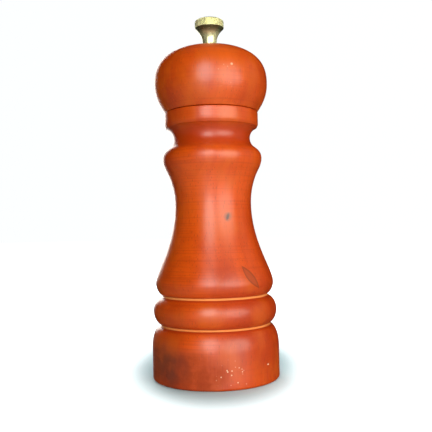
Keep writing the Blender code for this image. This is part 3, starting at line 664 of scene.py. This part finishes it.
plate_foot, plate_thickness = 0.11015, 0.0015
square_side = 0.0067
plate_screw_circle, plate_screw_hole = 0.0080, 0.0013
plate_holes = [ring_loop(plate_screw_hole, 32, place) for place in on_circle(3, plate_screw_circle, 90)]
zinc = sheet_metal("zinc_plate", (0.66, 0.66, 0.63, 1), 0.30, 0.35)
plate = flat_stamping("plate_stamping", ring_loop(0.0106), [square_loop(square_side), *plate_holes],
                      plate_foot, plate_thickness)
fit(plate, zinc, "head", "drive_plate")


# ---------------- wood screws
# Slotted round-head wood screws: four short stout ones hold the grinder and the bridge
# bar in the foot, and three small ones hold the drive plate. Rolled thread, zinc plated.
def threaded(name, radius, depth, pitch, low, high, taper_from=None, chamfer=0.0004, sides=32, rows=10):
    """A rod with a rolled thread, standing on the axis, tapered to a point if asked."""
    shape = bmesh.new()
    count = max(2, round((high - low) / pitch * rows))
    rings = []
    for step in range(count + 1):
        z = low + (high - low) * step / count
        run_out = min(1.0, (z - low) / chamfer, (high - z) / chamfer)
        width = radius - (1 - run_out) * depth
        cut = depth * run_out
        if taper_from is not None and z > taper_from:
            width = max(radius * 0.06, radius * (high - z) / (high - taper_from))
            cut = min(depth, width * 0.45)
        ring = []
        for side in range(sides):
            wave = abs((z / pitch - side / sides) % 1.0 * 2 - 1)
            reach = width - cut * min(1.0, wave * 1.6)
            angle = math.tau * side / sides
            ring.append(shape.verts.new((reach * math.cos(angle), reach * math.sin(angle), z)))
        rings.append(ring)
    for lower, upper in zip(rings, rings[1:]):
        for i in range(sides):
            j = (i + 1) % sides
            shape.faces.new((lower[i], lower[j], upper[j], upper[i]))
    shape.faces.new(reversed(rings[0]))
    shape.faces.new(rings[-1])
    mesh = bpy.data.meshes.new(name)
    shape.to_mesh(mesh)
    shape.free()
    return mesh


def joined(name, shells):
    """Several closed shells in one piece."""
    shape = bmesh.new()
    for shell in shells:
        shape.from_mesh(shell)
    mesh = bpy.data.meshes.new(name)
    shape.to_mesh(mesh)
    shape.free()
    return stood(name, mesh)


def block(name, size, middle, angle=0.0):
    """A square block about a place, then swung round the mill's axis."""
    shape = bmesh.new()
    bmesh.ops.create_cube(shape, size=1.0)
    bmesh.ops.scale(shape, verts=shape.verts, vec=size)
    bmesh.ops.translate(shape, verts=shape.verts, vec=middle)
    bmesh.ops.rotate(shape, verts=shape.verts, cent=(0, 0, 0), matrix=Matrix.Rotation(angle, 3, "Z"))
    mesh = bpy.data.meshes.new(name)
    shape.to_mesh(mesh)
    shape.free()
    return stood(name, mesh)


def slotted_screw(name, shank, head_radius, head_height, tip):
    """One screw pointing up, its head's seat at the origin."""
    outline = [
        (0.0, 0.0),
        (head_radius, 0.0),
        (head_radius, -head_height * 0.35),
        *arc((head_radius * 0.45, -head_height * 0.35), (head_radius * 0.55, head_height * 0.65),
             0, -90, 8),
        (0.0, -head_height),
    ]
    cap = turned(name + "_head", outline, 48, closed=False)
    slot_cutter = block(name + "_slot", (3 * head_radius, head_radius / 3.2, head_height),
                        (0, 0, -head_height))
    cut = cap.modifiers.new("slot", "BOOLEAN")
    cut.object = slot_cutter
    cap = plain_mesh(cap, name + "_head")
    bpy.data.objects.remove(slot_cutter)
    thread = threaded(name + "_shank", shank, shank * 0.28, shank * 0.85, -0.0001, tip,
                      taper_from=tip - 0.0030, sides=24, rows=6)
    screw = joined(name, [cap.data, thread])
    bpy.data.objects.remove(cap)
    return screw


# A Geometry Nodes tree that sets one screw at every place, each turned by chance.
setter_tree, given, result = new_group(
    "screw_setter", {"Places": "Geometry", "Screw": "Object", "Seed": "Int", "Finish": "Material"},
    {"Screws": "Geometry"}, "GeometryNodeTree")
screw = node(setter_tree, "GeometryNodeObjectInfo", Object=given["Screw"]).outputs["Geometry"]
chance = node(setter_tree, "FunctionNodeRandomValue", {"data_type": "FLOAT"}, i3=math.tau, Seed=given["Seed"])
turn = node(setter_tree, "ShaderNodeCombineXYZ", Z=chance.outputs[1]).outputs[0]
placed = node(setter_tree, "GeometryNodeInstanceOnPoints", Points=given["Places"], Instance=screw,
              Rotation=turn)
painted_end(setter_tree, placed.outputs[0], given["Finish"], result)


def set_screws(name, screw, places, seed, finish):
    """The screws at their places, as one plain mesh."""
    mesh = bpy.data.meshes.new(name + "_places")
    mesh.from_pydata(list(places), [], [])
    return run_tree(stood(name + "_places", mesh), name, setter_tree, Screw=screw, Seed=seed, Finish=finish)


head_sunk = 0.0003
small_screw = slotted_screw("small_screw", 0.00098, 0.0020, 0.0012, 0.0077)
plate_screws = set_screws("plate_screw_set", small_screw,
                          [(x, y, plate_foot - head_sunk) for x, y in on_circle(3, plate_screw_circle, 90)],
                          5, zinc)
fit(plate_screws, None, "head", "drive_plate_screw_1", "drive_plate_screw_2", "drive_plate_screw_3")
bpy.data.objects.remove(small_screw)

bridge_foot, flange_foot, step_face = 0.0082, 0.0099, 0.0117
base_screw_circle = 0.0190
stout_screw = slotted_screw("stout_screw", 0.00122, 0.0026, 0.0016, 0.0107)
seats = [(x, y, (flange_foot if number % 2 else bridge_foot) - head_sunk)
         for number, (x, y) in enumerate(on_circle(4, base_screw_circle))]
base_screws = set_screws("base_screw_set", stout_screw, seats, 11, zinc)
fit(base_screws, None, "mill", "bridge_screw_1", "bridge_screw_2", "stator_screw_1", "stator_screw_2")
bpy.data.objects.remove(stout_screw)


# ---------------- shaft
# A square aluminium bar from the grinder up through the head. Its top is turned round and
# threaded for the nut, and its foot is turned down to run in the bush and take the clip.
shaft_side, shaft_foot, shaft_shoulder = 0.0060, 0.0095, 0.1455
thread_top = 0.1595
corner = 0.0004
bar_outline = []
for turn in range(4):
    for x, y in arc((shaft_side / 2 - corner, shaft_side / 2 - corner), (corner, corner), 0, 90, 5):
        angle = turn * math.pi / 2
        bar_outline.append((x * math.cos(angle) - y * math.sin(angle),
                            x * math.sin(angle) + y * math.cos(angle)))
bar = flat_stamping("shaft_bar", bar_outline, [], shaft_foot, shaft_shoulder - shaft_foot, 0.0003)
neck_outline = [(0.0, 0.1475), (0.0021, 0.1475), (0.0021, 0.1450), (0.0, 0.1450)]
neck = turned("shaft_neck", neck_outline, 48, closed=False)
thread = threaded("shaft_thread", 0.0025, 0.00038, 0.0008, 0.1467, thread_top, sides=48, rows=8)
journal_outline = [
    (0.0, 0.0105),
    (0.0020, 0.0105),
    (0.0020, 0.0079),
    (0.0014, 0.0079),
    (0.0014, 0.0071),
    (0.0020, 0.0071),
    (0.0020, 0.0026),
    (0.0017, 0.0022),
    (0.0, 0.0022),
]
journal = turned("shaft_journal", journal_outline, 48, closed=False)
shaft = joined("shaft_turning", [bar.data, neck.data, thread, journal.data])
for part in (bar, neck, journal):
    bpy.data.objects.remove(part)
aluminium = sheet_metal("drawn_aluminium", (0.84, 0.84, 0.83, 1), 0.30, 0.2)
fit(smoothed(shaft, 30), aluminium, "spindle", "drive_shaft")


# ---------------- burrs
# The stator is a cast and hardened ring with teeth inside and a three-armed spider across
# its top. The rotor is a cone on the shaft, with coarse ribs above and fine teeth below.
# Hardened burr steel is dark, sandy as cast, bright on the teeth's crests, dusty below.
def straight(start, end, steps):
    """A straight stretch of a turned outline, with places for the teeth to move."""
    return [(start[0] + (end[0] - start[0]) * t / steps, start[1] + (end[1] - start[1]) * t / steps)
            for t in range(1, steps + 1)]


burr_finish, tree, place = new_material("burr_steel")
sand = noise(place, 2400.0, 3.0, 0.6)
mottle = noise(place, 300.0, 3.0, 0.6)
colour = tint(band(mottle, 0.35, 0.7), (0.20, 0.20, 0.21, 1), (0.32, 0.31, 0.315, 1))
pressed = node(tree, "ShaderNodeAttribute", {"attribute_name": "pressed"}).outputs["Fac"]
colour = tint(band(pressed, 0.05, 0.45, 0.75, 0.0), colour, (0.52, 0.52, 0.53, 1))
dust = band(noise(place, 700.0, 4.0, 0.7), 0.56, 0.72, 0.0, 0.45)
dust = most(dust, band(pressed, 0.60, 0.95, 0.0, 0.55))
colour = tint(dust, colour, (0.16, 0.11, 0.07, 1))
shade(sand, 0.4, 0.00004, Base_Color=colour, Metallic=band(dust, 0.0, 0.45, 1.0, 0.2, smooth=False),
      Roughness=band(sand, 0.3, 0.7, 0.34, 0.55, smooth=False))

rotor_foot, rotor_waist, rotor_top = 0.0092, 0.0142, 0.0202
foot_radius, waist_radius, top_radius = 0.0128, 0.0102, 0.0066
rotor_bore = 0.0046
rotor_outline = [
    (rotor_bore, rotor_top),
    (top_radius - 0.0003, rotor_top),
    (top_radius, rotor_top - 0.0002),
    *straight((top_radius, rotor_top), (waist_radius, rotor_waist), 30),
    *straight((waist_radius, rotor_waist), (foot_radius, rotor_foot), 24)[:-1],
    (foot_radius - 0.0001, rotor_foot + 0.0001),
    (foot_radius - 0.0003, rotor_foot),
    (rotor_bore, rotor_foot),
]
rotor = turned("rotor_blank", rotor_outline, 288)
rotor = run_tree(rotor, "rotor_fine", teeth_tree, Teeth=24.0, Depth=-0.0006, Slant=60.0,
                 Low=rotor_foot - 0.001, High=rotor_waist - 0.0002, Run_out=0.0003, Inside=0.0080,
                 Outside=1.0)
rotor = run_tree(rotor, "rotor_casting", teeth_tree, Teeth=8.0, Depth=-0.0016, Slant=130.0,
                 Low=rotor_waist - 0.0002, High=rotor_top + 0.001, Run_out=0.0009, Inside=0.0055, Outside=1.0)
fit(rotor, burr_finish, "spindle", "rotor_burr")

flange_radius, stator_radius, stator_top = 0.0215, 0.0157, 0.0340
mouth_radius, throat_radius, throat, well_radius, well_foot = 0.01356, 0.01065, 0.0155, 0.0130, 0.0205
stator_outline = [
    (well_radius, stator_top),
    (stator_radius - 0.0004, stator_top),
    (stator_radius, stator_top - 0.0004),
    (stator_radius, step_face + 0.0003),
    (stator_radius + 0.0003, step_face),
    (flange_radius - 0.0002, step_face),
    (flange_radius, step_face - 0.0002),
    (flange_radius, flange_foot + 0.0003),
    (flange_radius - 0.0003, flange_foot),
    (mouth_radius + 0.0003, flange_foot),
    (mouth_radius, flange_foot + 0.0002),
    *straight((mouth_radius, flange_foot + 0.0002), (throat_radius, throat), 24),
    *straight((throat_radius, throat), (well_radius, well_foot), 20),
    *straight((well_radius, well_foot), (well_radius, stator_top), 16)[:-1],
]
stator = turned("stator_blank", stator_outline, 288)
stator = run_tree(stator, "stator_fine", teeth_tree, Teeth=24.0, Depth=0.0005, Slant=-60.0,
                  Low=flange_foot - 0.001, High=throat, Run_out=0.0003, Outside=0.0140)
stator = run_tree(stator, "stator_ring", teeth_tree, Teeth=8.0, Depth=0.0010, Slant=-70.0, Low=throat,
                  High=0.0300, Run_out=0.0010, Outside=0.0137)
hub = turned("spider_hub", [
    (0.0047, stator_top - 0.0002),
    (0.0050, stator_top),
    (0.0062, stator_top),
    (0.0065, stator_top - 0.0003),
    (0.0065, 0.0312),
    (0.0063, 0.0310),
    (0.0047, 0.0310),
], 72)
arms = []
for number in range(3):
    arm = block("spider_arm", (0.0082, 0.0035, 0.0024), (0.0102, 0, 0.0325), number * math.tau / 3)
    soft = arm.modifiers.new("soft", "BEVEL")
    soft.width, soft.segments = 0.0007, 4
    arms.append(plain_mesh(arm, "spider_arm"))
stator_whole = joined("stator_casting", [stator.data, hub.data, *[arm.data for arm in arms]])
for part in (stator, hub, *arms):
    bpy.data.objects.remove(part)
fit(smoothed(stator_whole, 35), burr_finish, "mill", "stator_burr")


# ---------------- spring and washers
# An open coil spring of drawn wire pushes the rotor down from under the spider's hub. Its
# ends are closed. It sits between a keyed cap above and a plain washer below.
spring_foot, spring_top, wire, spring_radius = 0.0216, 0.0296, 0.0011, 0.0056

# A Geometry Nodes tree that winds a coil, closes its end turns and sweeps the wire.
winder_tree, given, result = new_group(
    "spring_winder", {"Seed point": "Geometry", "Turns": "Float", "Radius": "Float", "Wire": "Float",
                      "Foot": "Float", "Rise": "Float", "Finish": "Material"},
    {"Spring": "Geometry"}, "GeometryNodeTree")
line = node(winder_tree, "GeometryNodeCurvePrimitiveLine").outputs[0]
line = node(winder_tree, "GeometryNodeResampleCurve", {"mode": "COUNT"}, Curve=line, Count=280).outputs[0]
share = node(winder_tree, "GeometryNodeSplineParameter").outputs["Factor"]
angle = times(times(share, given["Turns"]), math.tau)
climb = node(winder_tree, "ShaderNodeMix", i0=0.55, i2=share, i3=band(share, 0.0, 1.0)).outputs[0]
place = node(winder_tree, "ShaderNodeCombineXYZ", X=times(reckon("COSINE", angle), given["Radius"]),
             Y=times(reckon("SINE", angle), given["Radius"]),
             Z=plus(times(climb, given["Rise"]), given["Foot"])).outputs[0]
coil = node(winder_tree, "GeometryNodeSetPosition", Geometry=line, Position=place).outputs[0]
round_wire = node(winder_tree, "GeometryNodeCurvePrimitiveCircle", Resolution=16,
                  Radius=times(given["Wire"], 0.5)).outputs[0]
swept = node(winder_tree, "GeometryNodeCurveToMesh", Curve=coil, Profile_Curve=round_wire,
             Fill_Caps=True)
painted_end(winder_tree, swept.outputs[0], given["Finish"], result)

spring_wire = sheet_metal("spring_wire", (0.50, 0.50, 0.49, 1), 0.28, 0.3)
spring = run_tree(stood("spring_seed", bpy.data.meshes.new("spring_seed")), "spring_coil", winder_tree,
                  Turns=4.5, Radius=spring_radius, Wire=wire, Foot=spring_foot + wire / 2 + 0.00002,
                  Rise=spring_top - spring_foot - wire - 0.00004, Finish=spring_wire)
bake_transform(spring)
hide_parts("grinder_spring")

plain_steel = sheet_metal("plain_steel", (0.58, 0.58, 0.57, 1), 0.30, 0.3)


def round_washer(name, inner, outer, thickness, foot):
    edge = 0.00015
    return turned(name, [
        (inner, foot + thickness - edge),
        (inner + edge, foot + thickness),
        *arc((outer - edge, foot + thickness - edge), (edge, edge), 90, 0, 3),
        *arc((outer - edge, foot + edge), (edge, edge), 0, -90, 3),
        (inner + edge, foot),
        (inner, foot + edge),
    ], 96)


cap_plate = flat_stamping("cap_stamping", ring_loop(0.0070), [square_loop(square_side)], 0.0299, 0.0008)
fit(cap_plate, plain_steel, "spring_carrier", "spring_cap")
for name, node_name, sizes in (
    ("seat_washer", "spring_seat", (0.0046, 0.0070, 0.0008, 0.0205)),
    ("foot_washer", "rotor_washer", (0.0023, 0.0050, 0.0008, 0.0081)),
):
    fit(round_washer(name, *sizes), plain_steel, "spindle", node_name)

# the clip is stamped from spring steel, open on one side so that it pushes into its groove
clip_opening = 32
clip_loop = [
    *arc((0, 0), (0.0042, 0.0042), clip_opening, 360 - clip_opening, 60),
    *arc((0, 0), (0.0017, 0.0017), 360 - clip_opening, clip_opening, 40),
]
clip = flat_stamping("clip_stamping", clip_loop, [], 0.0072, 0.0006, 0.0001)
fit(clip, spring_wire, "spindle", "rotor_clip")


# ---------------- bridge bar and bush
# A zinc-plated steel strip crosses the recess in the foot, cranked down in the middle to
# clear the rotor. A nylon bush pressed in its middle guides the foot of the shaft.
bridge_width, bridge_thickness, bridge_top, crank_drop = 0.0090, 0.0014, 0.0096, 0.0052


def bent(corners, bend, steps):
    """A polyline of (x, z) places with each inner corner rounded."""
    path = [corners[0]]
    for before, here, after in zip(corners, corners[1:], corners[2:]):
        a, b, c = Vector(before), Vector(here), Vector(after)
        start, end = b + (a - b).normalized() * bend, b + (c - b).normalized() * bend
        for step in range(steps + 1):
            t = step / steps
            path.append(tuple(start * (1 - t) ** 2 + b * 2 * t * (1 - t) + end * t * t))
    path.append(corners[-1])
    return path


crank = bent([(-0.0210, bridge_top), (-0.0143, bridge_top), (-0.0086, bridge_top - crank_drop),
              (0.0086, bridge_top - crank_drop), (0.0143, bridge_top), (0.0210, bridge_top)], 0.0012, 6)
shape = bmesh.new()
corners = [shape.verts.new((x, -bridge_width / 2, z)) for x, z in crank]
for start, end in zip(corners, corners[1:]):
    shape.edges.new((start, end))
grown = bmesh.ops.extrude_edge_only(shape, edges=shape.edges)["geom"]
far_side = [part for part in grown if isinstance(part, bmesh.types.BMVert)]
bmesh.ops.translate(shape, verts=far_side, vec=(0, bridge_width, 0))
strip = stood("bridge_strip", bpy.data.meshes.new("bridge_strip"))
shape.to_mesh(strip.data)
shape.free()
wall = strip.modifiers.new("wall", "SOLIDIFY")
wall.thickness, wall.offset, wall.use_even_offset = bridge_thickness, 1.0, True
rolled = strip.modifiers.new("rolled", "BEVEL")
rolled.width, rolled.segments, rolled.limit_method = 0.0003, 3, "ANGLE"
rolled.angle_limit = math.radians(60)
fit(smoothed(plain_mesh(strip, "bridge_strip"), 40), zinc, "mill", "bridge_bar")

nylon, tree, place = new_material("nylon")
grime = band(noise(place, 600.0, 4.0, 0.6), 0.5, 0.75, 0.0, 0.4)
colour = tint(grime, (0.80, 0.78, 0.70, 1), (0.42, 0.34, 0.24, 1))
shade(noise(place, 1500.0, 2.0), 0.2, 0.00003, Base_Color=colour,
      Roughness=band(grime, 0.0, 0.4, 0.42, 0.65, smooth=False))
bush_seat = bridge_top - crank_drop + 0.0003
bush = turned("bush_moulding", [
    (0.00235, bush_seat + 0.0007),
    (0.00245, bush_seat + 0.0008),
    *arc((0.0048, bush_seat + 0.0006), (0.0002, 0.0002), 90, 0, 3),
    (0.0050, bush_seat),
    (0.0036, bush_seat),
    (0.0036, bush_seat - 0.0017),
    (0.0034, bush_seat - 0.0019),
    (0.00235, bush_seat - 0.0019),
], 96)
fit(bush, nylon, "mill", "bridge_bush")


# ---------------- table, light and camera
# A table top runs far back. For the camera it glows plain white beyond a ring round the foot,
# so that its shadow shows only near the foot, in the table's pale cyan. Two oval soft lights stand
# left and right of the camera and one behind, with a warm fill from the right and a light overhead.
floor_mesh = bpy.data.meshes.new("table_top")
shape = bmesh.new()
bmesh.ops.create_circle(shape, cap_ends=True, segments=96, radius=6.0)
bmesh.ops.translate(shape, verts=shape.verts, vec=(0, 0, -0.00005))
shape.to_mesh(floor_mesh)
shape.free()
floor = stood("table_top", floor_mesh)
floor_paint, floor_tree, place = new_material("table_white")
around_foot = length(stretched(place, (1, 0.5, 1), (0, -0.0145, 0)))
seen = node(floor_tree, "ShaderNodeLightPath").outputs["Is Camera Ray"]
# painted glow: plain white for the camera beyond a ring round the foot
painted_glow = times(band(around_foot, 0.0295, 0.0520, 0.0, 1.05), seen)
paint = node(floor_tree, "ShaderNodeBsdfPrincipled", Base_Color=(0.62, 0.88, 0.96, 1), Roughness=0.9,
             Emission_Color=(1.0, 1.0, 1.0, 1), Emission_Strength=painted_glow)
node(floor_tree, "ShaderNodeOutputMaterial", Surface=paint.outputs[0])
floor_mesh.materials.append(floor_paint)
floor.visible_glossy = False

world = bpy.data.worlds.new("studio")
bpy.context.scene.world = world
world.use_nodes = True
sky = world.node_tree
sky.nodes.clear()
ray = node(sky, "ShaderNodeLightPath").outputs
east, north, _ = parts(node(sky, "ShaderNodeTexCoord").outputs["Generated"])
front = times(band(north, 0.55, -0.9, 0.03, 0.11), band(east, -0.9, 0.6, 0.15, 1.15))
front = times(front, band(ray["Is Glossy Ray"], 0.0, 1.0, 1.0, 0.15))
front = plus(front, times(band(north, -0.62, -0.95, 0.0, 0.80), ray["Is Glossy Ray"]))
light = node(sky, "ShaderNodeBackground", Color=(0.97, 0.985, 1.0, 1),
             Strength=plus(front, ray["Is Camera Ray"]))
node(sky, "ShaderNodeOutputWorld", Surface=light.outputs[0])


def softbox(name, azimuth, elevation, distance, width, height, watts, colour, aim=(0, 0, 0.085)):
    """An oval light, its azimuth counted from the camera towards the right."""
    data = bpy.data.lights.new(name, "AREA")
    data.shape = "ELLIPSE"
    data.size, data.size_y = width, height
    data.energy, data.color = watts, colour
    lamp = stood(name, data)
    a, e = math.radians(azimuth), math.radians(elevation)
    away = Vector((math.sin(a) * math.cos(e), -math.cos(a) * math.cos(e), math.sin(e)))
    lamp.location = Vector(aim) + away * distance
    lamp.rotation_mode = "QUATERNION"
    lamp.rotation_quaternion = (-away).to_track_quat("-Z", "Y")
    return lamp


softbox("left_softbox", -9, 14, 0.9, 0.50, 0.64, 4.2, (1.0, 0.98, 0.92))
softbox("right_softbox", 37, 7, 0.9, 0.90, 0.64, 6.0, (1.0, 0.98, 0.86))
side_fill = softbox("side_fill", 92, 20, 0.9, 0.5, 0.7, 2.0, (1.0, 0.94, 0.88))
side_fill.visible_glossy = False
top_light = softbox("top_light", 180, 70, 1.0, 0.9, 0.6, 3.0, (1.0, 1.0, 1.0))
top_light.visible_glossy = False
softbox("back_softbox", 196, 14, 0.9, 0.5, 0.64, 3.0, (1.0, 0.98, 0.92))

bpy.context.scene.view_settings.view_transform = "Standard"
camera_data = bpy.data.cameras.new("camera")
camera_data.lens = 51.7
camera_data.shift_y = 0.037
camera_data.clip_start = 0.01
camera = stood("camera", camera_data)
camera.location = (0.00115, -0.288, 0.0669)
camera.rotation_euler = (math.radians(90), math.radians(1.2), 0)
bpy.context.scene.camera = camera
